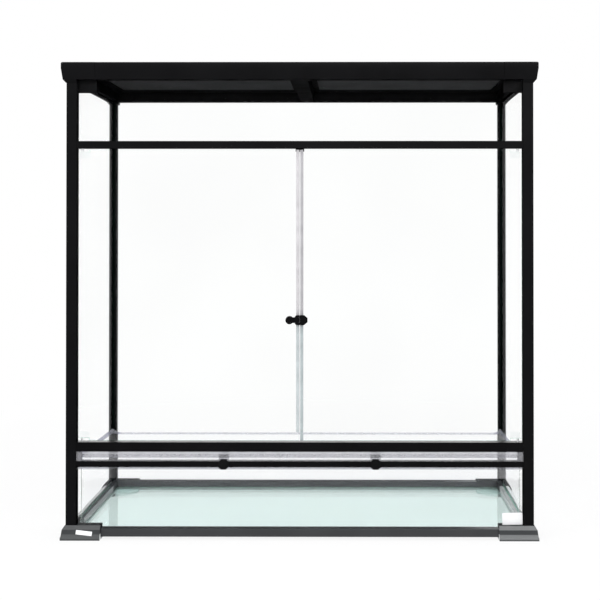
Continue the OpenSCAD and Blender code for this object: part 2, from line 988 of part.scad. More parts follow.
module vent_sash() {
    reach = rail_x - sash_end - sash_play;
    color(clear_grey)
        difference() {
            block([-reach, reach], [sash_front, sash_front + sash_t],
                  [vent_z - sash_lap + sash_gap, sill_z + sash_lap]);
            for (s = [-1, 1]) tab_neck(s);
        }
}

module tab_neck(side) {
    x = side * tab_pitch / 2;
    block([x - tab_neck_w / 2, x + tab_neck_w / 2],
          [-hy - tab_gap - neck_root, sash_front + sash_t], [clamp_z, clamp_z + tab_neck_h]);
}

// Eight-sided thumb tabs in front of the lower rail, each on a neck that
// runs over the rail and through the sash
module vent_tabs() {
    c = tab_cut;
    w = tab_w / 2;
    h = tab_h / 2;
    color(black)
        for (s = [-1, 1]) {
            translate([s * tab_pitch / 2, -hy - tab_gap, tab_top - h])
                rotate([90, 0, 0]) linear_extrude(tab_t)
                    polygon([
                        [-w, -h + c], [-w + c, -h], [w - c, -h], [w, -h + c],
                        [w, h - c], [w - c, h], [-w + c, h], [-w, h - c]
                    ]);
            tab_neck(s);
        }
}

// Plates that hold the tabs from behind the sash
module vent_tab_clamps() {
    color(dark_grey)
        for (s = [-1, 1])
            block([s * tab_pitch / 2 - tab_w / 2, s * tab_pitch / 2 + tab_w / 2],
                  [sash_front + sash_t, sash_front + sash_t + clamp_t], [clamp_z, clamp_z + clamp_h]);
}

module vent_guides() {
    y_out = sash_front - sash_gap;
    y_in = sash_front + sash_t + sash_gap;
    color(dark_grey)
        for (s = [-1, 1])
            left_or_right(s)
                difference() {
                    block([-rail_x, -rail_x + guide_w], [y_out - guide_wall, y_in + guide_wall],
                          [vent_z, sill_z]);
                    block([-rail_x + sash_end, -rail_x + guide_w + eps], [y_out, y_in],
                          [vent_z - eps, sill_z + eps]);
                }
}

// Liner -----------------------------------------------------------------

// One sheet folded up along four creases into five flat panels
module liner_side_wall(foot) {
    rotate([90, 0, 90])
        linear_extrude(liner_t)
            polygon([
                [-liner_y, foot], [liner_y, foot],
                [liner_y, liner_z + liner_side], [-liner_y, liner_z + liner_front]
            ]);
}

module liner_tray() {
    foot = liner_z + liner_t + liner_crease;
    half = liner_x - liner_t - liner_crease;
    color(clear_sheet) {
        block([-liner_x, liner_x], [-liner_y, liner_y], [liner_z, liner_z + liner_t]);
        block([-half, half], [-liner_y, -liner_y + liner_t], [foot, liner_z + liner_front]);
        block([-half, half], [liner_y - liner_t, liner_y], [foot, liner_z + liner_rear]);
        translate([-liner_x, 0, 0]) liner_side_wall(foot);
        translate([liner_x - liner_t, 0, 0]) liner_side_wall(foot);
    }
}

base_corner_front_left();
base_corner_front_right();
base_corner_rear_left();
base_corner_rear_right();
base_bar_front();
base_bar_rear();
base_bar_left();
base_bar_right();
post_front_left();
post_front_right();
post_rear_left();
post_rear_right();
top_corner_front_left();
top_corner_front_right();
top_corner_rear_left();
top_corner_rear_right();
top_bar_front();
top_bar_rear();
top_bar_left();
top_bar_right();
top_crossbar();
screen_frame_left();
screen_frame_right();
screen_mesh_left();
screen_mesh_right();
header_rail();
sill_rail();
lower_rail();
door_stop();
floor_glass();
rear_glass();
side_glass_left();
side_glass_right();
upper_front_glass();
lower_front_glass();
lower_pane_gasket();
door_glass_left();
door_glass_right();
door_seal_left();
door_seal_right();
hinge_shoes_left();
hinge_shoes_right();
hinge_pins_left();
hinge_pins_right();
latch_case();
latch_knob();
latch_crank();
latch_bolt();
latch_keeper();
vent_sash();
vent_tabs();
vent_tab_clamps();
vent_guides();
liner_tray();
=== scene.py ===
import json
import math

import bmesh
import bpy
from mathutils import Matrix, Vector

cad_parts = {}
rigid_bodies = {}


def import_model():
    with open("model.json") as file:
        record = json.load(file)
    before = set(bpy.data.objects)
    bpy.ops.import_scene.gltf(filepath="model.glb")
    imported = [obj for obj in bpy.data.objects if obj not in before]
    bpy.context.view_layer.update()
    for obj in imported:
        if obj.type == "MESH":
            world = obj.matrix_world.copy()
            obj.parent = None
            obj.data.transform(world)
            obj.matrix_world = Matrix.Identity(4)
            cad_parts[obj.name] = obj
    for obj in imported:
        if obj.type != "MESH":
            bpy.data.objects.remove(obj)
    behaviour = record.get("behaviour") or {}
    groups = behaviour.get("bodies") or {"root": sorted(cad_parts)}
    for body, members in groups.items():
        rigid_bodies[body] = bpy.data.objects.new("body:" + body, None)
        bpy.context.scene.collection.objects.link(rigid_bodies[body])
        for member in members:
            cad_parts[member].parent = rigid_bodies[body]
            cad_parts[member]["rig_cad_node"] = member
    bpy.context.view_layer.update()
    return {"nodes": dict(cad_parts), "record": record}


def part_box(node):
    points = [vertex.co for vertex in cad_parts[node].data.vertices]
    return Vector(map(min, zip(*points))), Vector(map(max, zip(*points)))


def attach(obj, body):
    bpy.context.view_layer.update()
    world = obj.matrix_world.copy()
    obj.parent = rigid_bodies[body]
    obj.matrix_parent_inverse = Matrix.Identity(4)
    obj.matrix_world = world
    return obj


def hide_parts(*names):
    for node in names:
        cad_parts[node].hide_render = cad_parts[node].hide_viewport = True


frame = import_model()

MM = 0.001               # pieces and finishes are measured in millimetres, camera and stage in metres


# Camera ------------------------------------------------------------------

def photograph_camera():
    """Stands where the photograph was taken from, a little right of the middle."""
    data = bpy.data.cameras.new("photograph_camera")
    data.sensor_width = 36.0
    data.lens = 73.81
    data.shift_x = -0.0727
    data.shift_y = -0.1435
    data.clip_end = 60.0
    camera = bpy.data.objects.new("photograph_camera", data)
    camera.location = (0.0969, -2.5766, 0.5984)
    camera.rotation_euler = (math.radians(90.599), 0.0, math.radians(0.305))
    bpy.context.scene.collection.objects.link(camera)
    bpy.context.scene.camera = camera


photograph_camera()


# Node tools --------------------------------------------------------------

def new_finish(name):
    """A node material with its Principled shader."""
    finish = bpy.data.materials.new(name)
    finish.use_nodes = True
    tree = finish.node_tree
    return finish, tree, tree.nodes["Principled BSDF"]


def set_shader(shader, **values):
    """Sets sockets by name, with underscores for the spaces."""
    for label, value in values.items():
        shader.inputs[label.replace("_", " ")].default_value = value


def feed(tree, value, socket):
    """Gives a socket another socket's value, a colour or a number."""
    if isinstance(value, bpy.types.NodeSocket):
        tree.links.new(value, socket)
    elif isinstance(value, tuple):
        socket.default_value = (*value, 1.0)
    else:
        socket.default_value = value


def speckle(tree, scale, detail=2.0, stretch=(1.0, 1.0, 1.0)):
    """Noise over the piece. Scale is its grains per metre."""
    place = tree.nodes.new("ShaderNodeTexCoord")
    mapping = tree.nodes.new("ShaderNodeMapping")
    mapping.inputs["Scale"].default_value = stretch
    noise = tree.nodes.new("ShaderNodeTexNoise")
    noise.inputs["Scale"].default_value = scale
    noise.inputs["Detail"].default_value = detail
    tree.links.new(place.outputs["Object"], mapping.inputs["Vector"])
    tree.links.new(mapping.outputs["Vector"], noise.inputs["Vector"])
    return noise.outputs["Fac"]


def along(tree, axis, source="Object"):
    """Place along an axis in metres, or with source Normal the face's own direction."""
    place = tree.nodes.new("ShaderNodeTexCoord")
    split = tree.nodes.new("ShaderNodeSeparateXYZ")
    tree.links.new(place.outputs[source], split.inputs["Vector"])
    return split.outputs[axis]


def worked(tree, operation, first, second=0.0):
    """One sum on two values."""
    node = tree.nodes.new("ShaderNodeMath")
    node.operation = operation
    feed(tree, first, node.inputs[0])
    feed(tree, second, node.inputs[1])
    return node.outputs["Value"]


def times(tree, first, second):
    return worked(tree, "MULTIPLY", first, second)


def most(tree, first, second):
    return worked(tree, "MAXIMUM", first, second)


def ranged(tree, value, low, high, start=0.35, stop=0.65):
    """Low where the value is at start, high where it is at stop. Noise mostly lies between
    the start and stop that are given here."""
    node = tree.nodes.new("ShaderNodeMapRange")
    node.inputs["From Min"].default_value = start
    node.inputs["From Max"].default_value = stop
    node.inputs["To Min"].default_value = low
    node.inputs["To Max"].default_value = high
    tree.links.new(value, node.inputs["Value"])
    return node.outputs["Result"]


def step(tree, place, start, stop, before=0.0, after=1.0):
    """One value up to a start and another past a stop, both in millimetres."""
    return ranged(tree, place, before, after, start * MM, stop * MM)


def facing(tree, axis):
    """1 on the faces that look along an axis either way, 0 on the others."""
    return ranged(tree, worked(tree, "ABSOLUTE", along(tree, axis, "Normal")), 0.0, 1.0, 0.3, 0.7)


def looks_up(tree, start=0.9):
    """1 on level top faces, 0 on those whose normal rises less than start."""
    return ranged(tree, along(tree, "Z", "Normal"), 0.0, 1.0, start, 0.95)


def from_middle(tree):
    """Distance from the middle of the cabinet to either side, in metres."""
    return worked(tree, "ABSOLUTE", along(tree, "X"))


def across_cabinet(tree, left, right):
    """One value at the left end of the cabinet, which turns into another at the right end."""
    return step(tree, along(tree, "X"), -400.0, 400.0, left, right)


def band(tree, low, high, soft):
    """1 between two heights, in millimetres, with soft ends."""
    height = along(tree, "Z")
    rise = step(tree, height, low - soft, low + soft)
    fall = step(tree, height, high - soft, high + soft, 1.0, 0.0)
    return times(tree, rise, fall)


def two_tones(tree, factor, first, second):
    """The first colour where the factor is 0, the second where it is 1."""
    mix = tree.nodes.new("ShaderNodeMix")
    mix.data_type = "RGBA"
    feed(tree, first, mix.inputs["A"])
    feed(tree, second, mix.inputs["B"])
    tree.links.new(factor, mix.inputs["Factor"])
    return mix.outputs["Result"]


def grain_bump(tree, shader, height, depth, strength=0.5):
    """Fine relief. Depth is in millimetres."""
    bump = tree.nodes.new("ShaderNodeBump")
    bump.inputs["Strength"].default_value = strength
    bump.inputs["Distance"].default_value = depth * MM
    tree.links.new(height, bump.inputs["Height"])
    tree.links.new(bump.outputs["Normal"], shader.inputs["Normal"])


def mixed_surface(tree, share, first, second, output="Material Output"):
    """Ends a node tree in two shaders, with this share of the second."""
    mix = tree.nodes.new("ShaderNodeMixShader")
    feed(tree, share, mix.inputs["Fac"])
    tree.links.new(first, mix.inputs[1])
    tree.links.new(second, mix.inputs[2])
    tree.links.new(mix.outputs["Shader"], tree.nodes[output].inputs["Surface"])


# Kinds of finish ---------------------------------------------------------

def plastic(name, dark, light, rough, specular, dull=(0.0, 1.0, 0.0), painted_light=None,
            grain=1400.0, depth=0.04):
    """Plastic with a fine grain and uneven gloss. Dull says how much of the gloss is missing
    face-on, edge-on and on top faces. A share and a colour may be given for places painted
    paler, as painted light."""
    finish, tree, shader = new_finish(name)
    set_shader(shader, Specular_IOR_Level=specular)
    clouds = speckle(tree, scale=9.0, detail=4.0)
    tone = two_tones(tree, ranged(tree, clouds, 0.0, 1.0), dark, light)
    # places painted paler, as painted light
    if painted_light:
        lit_share, lit_colour = painted_light
        tone = two_tones(tree, lit_share(tree), tone, lit_colour)
    feed(tree, tone, shader.inputs["Base Color"])
    patches = speckle(tree, scale=35.0, detail=5.0)
    feed(tree, ranged(tree, patches, *rough), shader.inputs["Roughness"])
    grain_bump(tree, shader, speckle(tree, grain), depth)
    flat = tree.nodes.new("ShaderNodeBsdfDiffuse")
    feed(tree, tone, flat.inputs["Color"])
    face_on, edge_on, top = dull
    slant = tree.nodes.new("ShaderNodeLayerWeight").outputs["Facing"]
    level = tree.nodes.new("ShaderNodeMix")
    feed(tree, ranged(tree, slant, face_on, edge_on, 0.2, 0.6), level.inputs["A"])
    feed(tree, top(tree) if callable(top) else top, level.inputs["B"])
    feed(tree, looks_up(tree, start=0.6), level.inputs["Factor"])
    mixed_surface(tree, level.outputs["Result"], shader.outputs["BSDF"], flat.outputs["BSDF"])
    return finish


def see_through(finish, tree, shader, share, tint):
    """Lets a share of what lies behind show straight through each face, and all of a lamp's light."""
    through = tree.nodes.new("ShaderNodeBsdfTransparent")
    feed(tree, tint, through.inputs["Color"])
    path = tree.nodes.new("ShaderNodeLightPath")
    clear = most(tree, path.outputs["Is Shadow Ray"], share)
    mixed_surface(tree, clear, shader.outputs["BSDF"], through.outputs["BSDF"])
    return finish


def pane_glass(name, face_axis, body, edge, share, ior):
    """Float glass: clear through its faces, faintly clouded, and green along its cut edges."""
    finish, tree, shader = new_finish(name)
    set_shader(shader, Roughness=0.0, IOR=ior, Transmission_Weight=1.0)
    clouds = ranged(tree, speckle(tree, scale=3.0), 0.0, 1.0)
    clear = two_tones(tree, clouds, body, tuple(0.992 * part for part in body))
    tint = two_tones(tree, facing(tree, face_axis), edge, clear)
    feed(tree, tint, shader.inputs["Base Color"])
    return see_through(finish, tree, shader, share, tint)


def clear_sheet(name, first, second, roughness, ior, share, grain):
    """Clear moulded or folded plastic, a little cloudy and wavy."""
    finish, tree, shader = new_finish(name)
    set_shader(shader, IOR=ior, Transmission_Weight=1.0)
    tint = two_tones(tree, ranged(tree, speckle(tree, grain, detail=3.0), 0.0, 1.0), first, second)
    feed(tree, tint, shader.inputs["Base Color"])
    haze = speckle(tree, 2 * grain, detail=4.0)
    feed(tree, ranged(tree, haze, 0.5 * roughness, 1.5 * roughness), shader.inputs["Roughness"])
    grain_bump(tree, shader, speckle(tree, 5 * grain), depth=0.03, strength=0.3)
    return see_through(finish, tree, shader, share, tint)


def milky(name, body, roughness, share, tint, grain=90.0, specular=0.4, marked=None):
    """Cloudy plastic film or strip. Body is a colour, or a function that makes one. Where marked
    gives a place on the piece, share and tint are pairs: elsewhere, and there."""
    finish, tree, shader = new_finish(name)
    set_shader(shader, Specular_IOR_Level=specular)
    if marked:
        mark = marked(tree)
        share = ranged(tree, mark, *share, start=0.0, stop=1.0)
        tint = two_tones(tree, mark, *tint)
    tone = tree.nodes.new("ShaderNodeVectorMath")
    tone.operation = "SCALE"
    if callable(body):
        tree.links.new(body(tree), tone.inputs[0])
    else:
        tone.inputs[0].default_value = body
    clouds = speckle(tree, grain, detail=4.0)
    tree.links.new(ranged(tree, clouds, 0.9, 1.08), tone.inputs["Scale"])
    tree.links.new(tone.outputs["Vector"], shader.inputs["Base Color"])
    haze = speckle(tree, 3 * grain, detail=3.0)
    feed(tree, ranged(tree, haze, 0.8 * roughness, 1.2 * roughness), shader.inputs["Roughness"])
    grain_bump(tree, shader, speckle(tree, 8 * grain), depth=0.02, strength=0.3)
    return see_through(finish, tree, shader, share, tint)


def brushed_steel(name):
    """Steel with fine lines that run up and down."""
    finish, tree, shader = new_finish(name)
    set_shader(shader, Metallic=1.0)
    lines = speckle(tree, scale=900.0, detail=3.0, stretch=(1.0, 1.0, 0.05))
    tone = two_tones(tree, ranged(tree, lines, 0.0, 1.0), (0.72, 0.72, 0.73), (0.86, 0.86, 0.87))
    feed(tree, tone, shader.inputs["Base Color"])
    feed(tree, ranged(tree, lines, 0.22, 0.4), shader.inputs["Roughness"])
    grain_bump(tree, shader, lines, depth=0.02, strength=0.4)
    return finish


def paper(name):
    """White label stock."""
    finish, tree, shader = new_finish(name)
    set_shader(shader, Specular_IOR_Level=0.3)
    fibres = speckle(tree, scale=700.0, detail=6.0)
    tone = two_tones(tree, ranged(tree, fibres, 0.0, 1.0), (0.93, 0.93, 0.94), (0.98, 0.98, 0.98))
    feed(tree, tone, shader.inputs["Base Color"])
    feed(tree, ranged(tree, fibres, 0.5, 0.7), shader.inputs["Roughness"])
    grain_bump(tree, shader, fibres, depth=0.02, strength=0.4)
    return finish


# Tones that change over a piece, and painted light -----------------------

def heights(node):
    """Lowest and highest place of a CAD node, in millimetres."""
    return [corner.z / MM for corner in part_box(node)]


SIDE_PANE_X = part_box("side_glass_right")[0].x / MM       # inner face of the right pane


def seal_tone_and_shade(tree):
    """The edge seals are greener below the latch. The right one is painted darker than the left one,
    as painted shade, but for its own edge at the seam."""
    latch_z = sum(heights("latch_knob")) / 2
    right_seal = step(tree, along(tree, "X"), 1.2, 2.8)
    below_latch = step(tree, along(tree, "Z"), latch_z - 14.5, latch_z + 5.5, 1.0, 0.0)
    upper = two_tones(tree, right_seal, (0.60, 0.585, 0.60), (0.43, 0.42, 0.44))
    lower = two_tones(tree, right_seal, (0.53, 0.575, 0.585), (0.42, 0.47, 0.48))
    return two_tones(tree, below_latch, upper, lower)


def gasket_head(tree):
    """The gasket lets less through, and is greyer, towards the rail that it hangs under."""
    low, high = heights("lower_pane_gasket")
    return step(tree, along(tree, "Z"), low, high - 1.5)


def clamp_band(tree):
    """A darker band across the clamps behind the sash."""
    low, high = heights("vent_tab_clamps")
    return band(tree, low + 5.1, high - 5.8, soft=0.6)


def sash_head(tree):
    """The sash is greyer where it stands above the rim of the liner."""
    rim = heights("liner_tray")[1]
    return step(tree, along(tree, "Z"), rim + 1.6, rim + 2.6)


def hem_ends(tree):
    """The hem is darker on the left and right walls of the liner."""
    return facing(tree, "X")


def painted_light_under_pane(tree):
    """The base is painted paler where the floor pane lies, as painted light for the glow through
    the pane and to lift the shade in its grooves: on the webs under it, and on the inner faces of
    the bars and feet up to its top. Above that a faint trace of it is painted on them."""
    pane_top = heights("floor_glass")[1]
    stop = (pane_top - 0.5, pane_top + 0.2)
    height = along(tree, "Z")
    webs = times(tree, step(tree, height, *stop, 1.0, 0.0), looks_up(tree))
    # How far out a face lies in the direction that it looks, so less than 0 on an inner face
    outward = worked(tree, "ADD", *(times(tree, along(tree, axis), along(tree, axis, "Normal"))
                                    for axis in "XY"))
    inner = step(tree, outward, -190.0, -150.0, 1.0, 0.0)
    walls = times(tree, step(tree, height, *stop, 1.0, 0.035), inner)
    return most(tree, webs, walls)


def painted_light_on_side_bars(tree):
    """More painted light: the inner faces of the side bars, their tops outside the panes and, thinly,
    the tops at the right end are painted paler, as the glow of the floor pane and the light that
    falls on them. There is more of it on the right."""
    outward = times(tree, along(tree, "X"), along(tree, "X", "Normal"))
    inner = step(tree, outward, -400.0, -300.0, 0.66, 0.0)
    outside = step(tree, from_middle(tree), SIDE_PANE_X + 0.5, SIDE_PANE_X + 4.5)
    right_end = step(tree, along(tree, "X"), 300.0, 400.0, 0.0, 0.35)
    tops = times(tree, most(tree, outside, right_end), looks_up(tree))
    lit_places = times(tree, most(tree, inner, tops), across_cabinet(tree, 0.45, 0.9))
    return most(tree, painted_light_under_pane(tree), lit_places)


def bar_top_dull(tree):
    """The tops of the bars are dull, but keep their gloss outside the side panes."""
    return step(tree, from_middle(tree), SIDE_PANE_X + 0.5, SIDE_PANE_X + 1.5, 0.8, 0.0)


def painted_light_on_feet(tree):
    """The feet are also painted a little paler on their shoulders and low down, above a dark bottom
    edge, and more so on the right, as painted highlights where the light catches them."""
    rise = along(tree, "Z", "Normal")
    shoulder = times(tree, ranged(tree, rise, 0.0, 0.145, 0.4, 0.5),
                     ranged(tree, rise, 1.0, 0.0, 0.7, 0.85))
    upright = ranged(tree, rise, 0.158, 0.0, 0.5, 0.6)
    low_down = times(tree, band(tree, 2.0, 11.6, soft=0.7), upright)
    lit_spots = times(tree, most(tree, shoulder, low_down), across_cabinet(tree, 0.3, 1.0))
    return most(tree, lit_spots, painted_light_under_pane(tree))


# Finishes ----------------------------------------------------------------

BLACK = ((0.0026, 0.0026, 0.0030), (0.0044, 0.0044, 0.0050))
DARK_GREY = ((0.022, 0.0236, 0.0255), (0.029, 0.031, 0.0335))
WIRE_BLACK = ((0.018, 0.018, 0.019), (0.026, 0.026, 0.028))
# Colour of the painted light on the base and the feet
PAINTED_LIGHT_WHITE = (0.94, 0.96, 0.96)
CLEAR = (0.998, 1.0, 0.999)
PALE_GREEN = (0.868, 0.943, 0.926)
UPRIGHT_IOR = 1.04       # the upright panes hardly bend light, so that the posts behind don't haze
FLOOR_IOR = 1.5

FINISHES = {
    "frame_black": plastic("frame_black", *BLACK, rough=(0.32, 0.46), specular=0.05,
                           dull=(0.0, 0.97, 0.0)),
    "rail_black": plastic("rail_black", *BLACK, rough=(0.16, 0.26), specular=0.6,
                          dull=(0.93, 1.0, 0.0)),
    # The base and the feet are painted paler in places, as painted light
    "base_plastic": plastic("base_plastic", *DARK_GREY, rough=(0.30, 0.40), specular=0.42,
                            dull=(0.0, 0.8, bar_top_dull), painted_light=(painted_light_on_side_bars, PAINTED_LIGHT_WHITE)),
    "foot_plastic": plastic("foot_plastic", *DARK_GREY, rough=(0.30, 0.40), specular=0.42,
                            dull=(0.0, 0.8, 0.8), painted_light=(painted_light_on_feet, PAINTED_LIGHT_WHITE)),
    "steel": brushed_steel("steel"),
    "mesh": plastic("mesh", *WIRE_BLACK, rough=(0.4, 0.55), specular=0.2,
                    grain=2500.0, depth=0.01),
    "guide": milky("guide", (0.3, 0.3, 0.31), 0.35, share=0.6, tint=(0.8, 0.8, 0.82)),
    "clamp": milky("clamp", (0.18, 0.18, 0.19), 0.35, share=(0.8, 0.5),
                   tint=((0.88, 0.88, 0.9), (0.62, 0.62, 0.64)), marked=clamp_band),
    # the right seal is painted darker, as painted shade
    "seal": milky("seal", seal_tone_and_shade, 0.45, share=0.12, tint=(0.8, 0.8, 0.8), grain=40.0),
    "gasket": milky("gasket", (0.3, 0.3, 0.31), 0.45, share=(0.95, 0.8),
                    tint=((0.97, 0.97, 0.98), (0.88, 0.88, 0.9)), marked=gasket_head),
    "clear_plastic": clear_sheet("clear_plastic", (0.985, 0.99, 0.99), (0.995, 0.998, 0.998),
                                 roughness=0.03, ior=1.1, share=0.985, grain=60.0),
    "sash": milky("sash", (0.66, 0.66, 0.68), 0.2, share=(0.9, 0.62),
                  tint=((0.985, 0.985, 0.99), (0.86, 0.86, 0.88)), grain=60.0, specular=0.5,
                  marked=sash_head),
    "liner": clear_sheet("liner", (0.99, 0.992, 1.0), (0.995, 0.997, 1.0),
                         roughness=0.03, ior=1.02, share=0.0, grain=14.0),
    "liner_hem": milky("liner_hem", (0.62, 0.62, 0.68), 0.25, share=(0.66, 0.75),
                       tint=((0.93, 0.93, 0.945), (0.70, 0.70, 0.76)), grain=45.0, specular=0.5,
                       marked=hem_ends),
    "paper": paper("paper"),
}
# The rear pane and the doors have the finish of the front panes
PANES = {
    "front": pane_glass("front_pane", "Y", CLEAR, edge=(0.7, 0.86, 0.8), share=0.95, ior=UPRIGHT_IOR),
    "side": pane_glass("side_pane", "X", CLEAR, edge=(0.45, 0.72, 0.62), share=0.97, ior=UPRIGHT_IOR),
    "floor": pane_glass("floor_pane", "Z", PALE_GREEN, edge=(0.8, 0.93, 0.88), share=0.75, ior=FLOOR_IOR),
}
PANE_OF = {
    "floor_glass": "floor", "rear_glass": "front", "side_glass_left": "side", "side_glass_right": "side",
    "upper_front_glass": "front", "lower_front_glass": "front",
    "door_glass_left": "front", "door_glass_right": "front",
}
SLOT_OF = {row["node"]: row["material_slot"] for row in frame["record"]["subparts"]}
BODY_OF = {node: body for body, nodes in frame["record"]["behaviour"]["bodies"].items()
           for node in nodes}

for name, slot in SLOT_OF.items():
    finish = PANES[PANE_OF[name]] if name in PANE_OF else FINISHES[slot]
    for socket in frame["nodes"][name].material_slots:
        socket.material = finish


# Workbench ---------------------------------------------------------------

def nothing_selected():
    """Leaves edit mode, with nothing selected."""
    if bpy.context.object and bpy.context.object.mode != "OBJECT":
        bpy.ops.object.mode_set(mode="OBJECT")
    bpy.ops.object.select_all(action="DESELECT")


def only(piece):
    """Selects one piece and makes it the active one."""
    nothing_selected()
    piece.select_set(True)
    bpy.context.view_layer.objects.active = piece


def work_on(piece):
    """Opens a piece in edit mode, all of it selected."""
    only(piece)
    bpy.ops.object.mode_set(mode="EDIT")
    bpy.ops.mesh.select_all(action="SELECT")


def start_box(name, low, high):
    """A box between two corners, in millimetres, to shape further."""
    nothing_selected()
    middle = [(a + b) / 2 * MM for a, b in zip(low, high)]
    bpy.ops.mesh.primitive_cube_add(size=1.0, location=middle)
    piece = bpy.context.object
    piece.name = piece.data.name = name
    piece.scale = [(b - a) * MM for a, b in zip(low, high)]
    bpy.ops.object.transform_apply(location=True, rotation=True, scale=True)
    return piece


def copy_of(piece, name):
    """A copy with its own mesh."""
    only(piece)
    bpy.ops.object.duplicate()
    copy = bpy.context.object
    copy.name = copy.data.name = name
    return copy


def pick(piece, kind, wanted):
    """Selects the corners, edges or faces for which wanted holds. Kind is VERT, EDGE or FACE."""
    bpy.ops.mesh.select_mode(type=kind)
    bpy.ops.mesh.select_all(action="DESELECT")
    mesh = bmesh.from_edit_mesh(piece.data)
    for part in {"VERT": mesh.verts, "EDGE": mesh.edges, "FACE": mesh.faces}[kind]:
        part.select_set(bool(wanted(part)))
    bmesh.update_edit_mesh(piece.data)


def reach(edge):
    """How far an edge goes along X, Y and Z, in millimetres."""
    start, end = (corner.co / MM for corner in edge.verts)
    return [abs(a - b) for a, b in zip(start, end)]


def sawn(point, direction, away=True):
    """Cuts the piece along a plane, and where away is true takes off what lies beyond it."""
    bpy.ops.mesh.select_all(action="SELECT")
    bpy.ops.mesh.bisect(plane_co=[v * MM for v in point], plane_no=direction, clear_outer=away,
                        threshold=0.001 * MM)


def modified(piece, kind, **settings):
    """Adds a modifier, sets it and applies it."""
    only(piece)
    modifier = piece.modifiers.new(kind.lower(), kind)
    for label, value in settings.items():
        setattr(modifier, label, value)
    bpy.ops.object.modifier_apply(modifier=modifier.name)


def smooth(piece, angle=35.0):
    """Shades a piece smooth, but for edges sharper than the angle, in degrees."""
    only(piece)
    bpy.ops.object.shade_smooth_by_angle(angle=math.radians(angle))


def dress(piece, finish):
    piece.data.materials.clear()
    piece.data.materials.append(finish)


def seat(piece, body, slot, finish=None):
    """The last step of every piece: its finish, given by name or else by its slot, and the body that it
    rides on.
    """
    dress(piece, FINISHES[finish or slot])
    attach(piece, body)


FEET = ["base_corner_" + corner for corner in ("front_left", "front_right", "rear_left", "rear_right")]
# Nodes with another finish than their slot's own
FINISH_OF = {
    **dict.fromkeys(FEET, "foot_plastic"),
    "sill_rail": "rail_black", "lower_rail": "rail_black",
    "lower_pane_gasket": "gasket", "vent_tab_clamps": "clamp",
}


def eased(node, radius, shrink=0.0):
    """A node's own shape again, with its sharp edges eased as a mould or a saw leaves them."""
    piece = copy_of(frame["nodes"][node], node + "_eased")
    del piece["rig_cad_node"]             # the copy is a piece of the scene, and no node
    work_on(piece)
    bpy.ops.mesh.remove_doubles(threshold=0.01 * MM)
    bpy.ops.mesh.dissolve_limited(angle_limit=math.radians(1.0))
    if shrink:
        bpy.ops.mesh.select_all(action="SELECT")
        bpy.ops.transform.shrink_fatten(value=-shrink * MM)
    modified(piece, "BEVEL", width=radius * MM, segments=2, limit_method="ANGLE",
             angle_limit=math.radians(25.0), use_clamp_overlap=True, miter_outer="MITER_SHARP")
    smooth(piece, 4.0 if node in FEET else 35.0)     # the feet's shallow steps stay crisp
    modified(piece, "WEIGHTED_NORMAL", keep_sharp=True, weight=100)
    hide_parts(node)
    seat(piece, BODY_OF[node], SLOT_OF[node], FINISH_OF.get(node))


# Frame members -----------------------------------------------------------

# Radius of the edges, in millimetres, and the nodes that have it
EASED = {
    1.0: ["top_bar_front", "top_bar_rear", "top_bar_left", "top_bar_right",
          "top_corner_front_left", "top_corner_front_right",
          "top_corner_rear_left", "top_corner_rear_right"],
    0.8: ["post_front_left", "post_front_right", "post_rear_left", "post_rear_right",
          "header_rail", "sill_rail", "lower_rail", "top_crossbar",
          "screen_frame_left", "screen_frame_right",
          "base_bar_front", "base_bar_rear", "base_bar_left", "base_bar_right", *FEET],
    0.5: ["vent_tabs", "door_stop", "latch_case", "latch_keeper", "latch_knob"],
}
for radius, nodes in EASED.items():
    for node in nodes:
        eased(node, radius)

SOFT_GAP = 0.04          # soft strips stay this far off the glass that they grip
SOFT_EASED = {
    "door_seal_left": 0.35, "door_seal_right": 0.35,
    "hinge_shoes_left": 0.6, "hinge_shoes_right": 0.6,
    "lower_pane_gasket": 0.3, "vent_tab_clamps": 0.3,
}
for node, radius in SOFT_EASED.items():
    eased(node, radius, shrink=SOFT_GAP)
eased("vent_sash", 0.3)
eased("vent_guides", 0.3, shrink=SOFT_GAP)


# Screens -----------------------------------------------------------------

WIRE_PITCH = 2.0
WIRE_R = 0.24
WIRE_LAP = 0.9 * WIRE_R  # the two rows lie this far above and below the middle, so they just bite


def wire_row(name, low, high, z, along_axis):
    """Straight wires side by side, one pitch apart, along X (axis 0) or Y (axis 1)."""
    across = 1 - along_axis
    length = (high[along_axis] - low[along_axis]) * MM
    count = int((high[across] - low[across]) / WIRE_PITCH)
    start = [0.0, 0.0, z * MM]
    start[along_axis] = (low[along_axis] + high[along_axis]) / 2 * MM
    start[across] = (low[across] + high[across] - (count - 1) * WIRE_PITCH) / 2 * MM
    turn = (0.0, math.pi / 2, 0.0) if along_axis == 0 else (math.pi / 2, 0.0, 0.0)
    nothing_selected()
    bpy.ops.mesh.primitive_cylinder_add(vertices=4, radius=WIRE_R * MM, depth=length,
                                        location=start, rotation=turn)
    wires = bpy.context.object
    wires.name = wires.data.name = name
    bpy.ops.object.transform_apply(location=True, rotation=True, scale=True)
    step = [0.0, 0.0, 0.0]
    step[across] = WIRE_PITCH * MM
    modified(wires, "ARRAY", count=count, use_relative_offset=False, use_constant_offset=True,
             constant_offset_displace=step)
    return wires


for side in ("left", "right"):
    low, high = (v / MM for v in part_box("screen_mesh_" + side))
    mid = (low.z + high.z) / 2
    warp = wire_row("warp", low, high, mid + WIRE_LAP, 0)
    weft = wire_row("weft", low, high, mid - WIRE_LAP, 1)
    only(warp)
    weft.select_set(True)
    bpy.ops.object.join()
    warp.name = warp.data.name = "screen_wires_" + side
    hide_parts("screen_mesh_" + side)
    seat(warp, "screen_" + side, "mesh")


# Liner -------------------------------------------------------------------

LINER_LOW, LINER_HIGH = (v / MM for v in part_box("liner_tray"))
CORNER_R = 12.0
DROP_Y = 130.0                           # from here back the side rims drop to the rear rim
